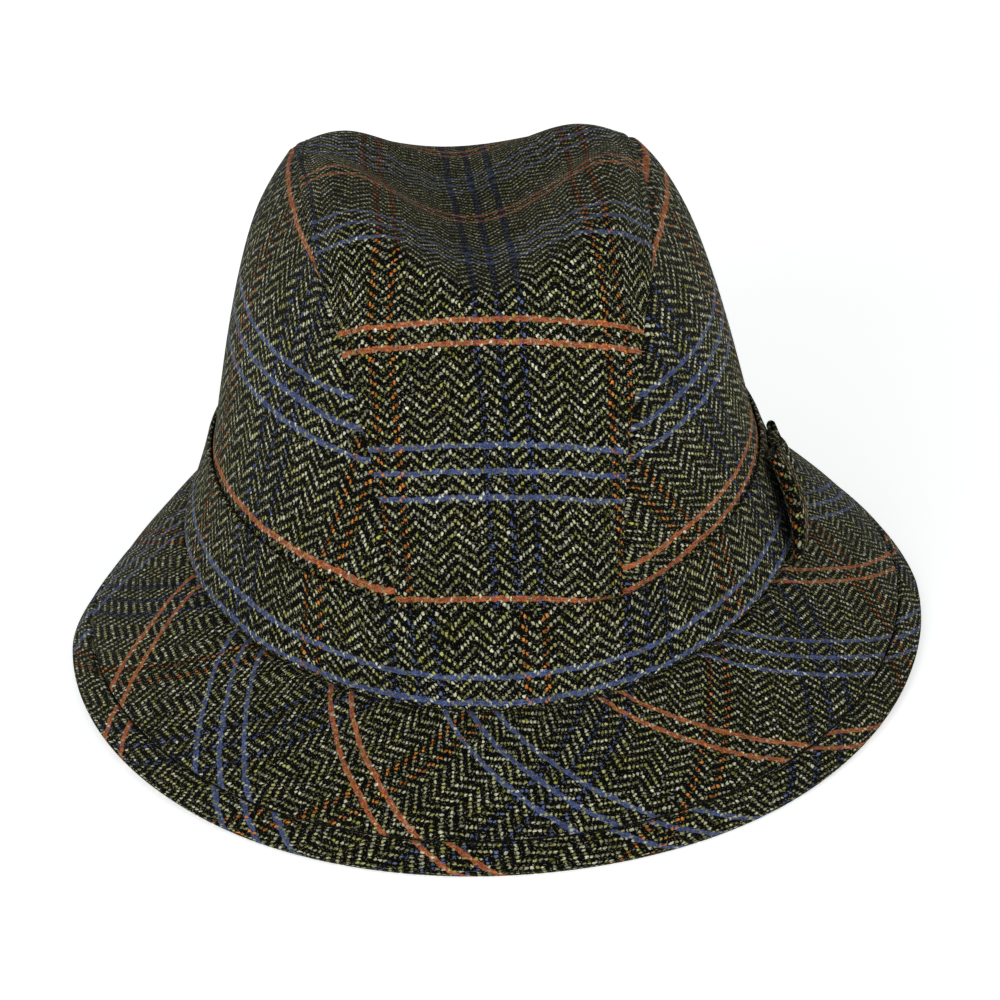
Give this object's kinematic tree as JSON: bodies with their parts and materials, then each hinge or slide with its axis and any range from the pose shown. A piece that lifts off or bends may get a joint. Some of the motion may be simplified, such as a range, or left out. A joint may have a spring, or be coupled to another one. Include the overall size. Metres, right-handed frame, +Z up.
{
  "type": "trilby hat",
  "caption": "Trilby of tweed with a centre crease, three-panel crown, cloth band with a flat side bow, and a sloping stitched brim; open below for the head.",
  "frame": {"origin": "on the surface that the hat rests on, under the middle of its outline", "axes": "+Z up, -Y the front of the hat, +X the wearer's left, where the bow is"},
  "size_m": [0.2471, 0.275, 0.1557],
  "materials": {
    "crown_cloth": "matte wool tweed",
    "band_cloth": "matte wool tweed",
    "brim_cloth": "matte wool tweed"
  },
  "bodies": {
    "root": {"crown_centre_panel": "crown_cloth", "crown_side_panel_left": "crown_cloth", "crown_side_panel_right": "crown_cloth", "hat_band": "band_cloth", "band_bow": "band_cloth", "band_knot": "band_cloth", "brim_upper": "brim_cloth", "brim_under": "brim_cloth"}
  },
  "joints": []
}
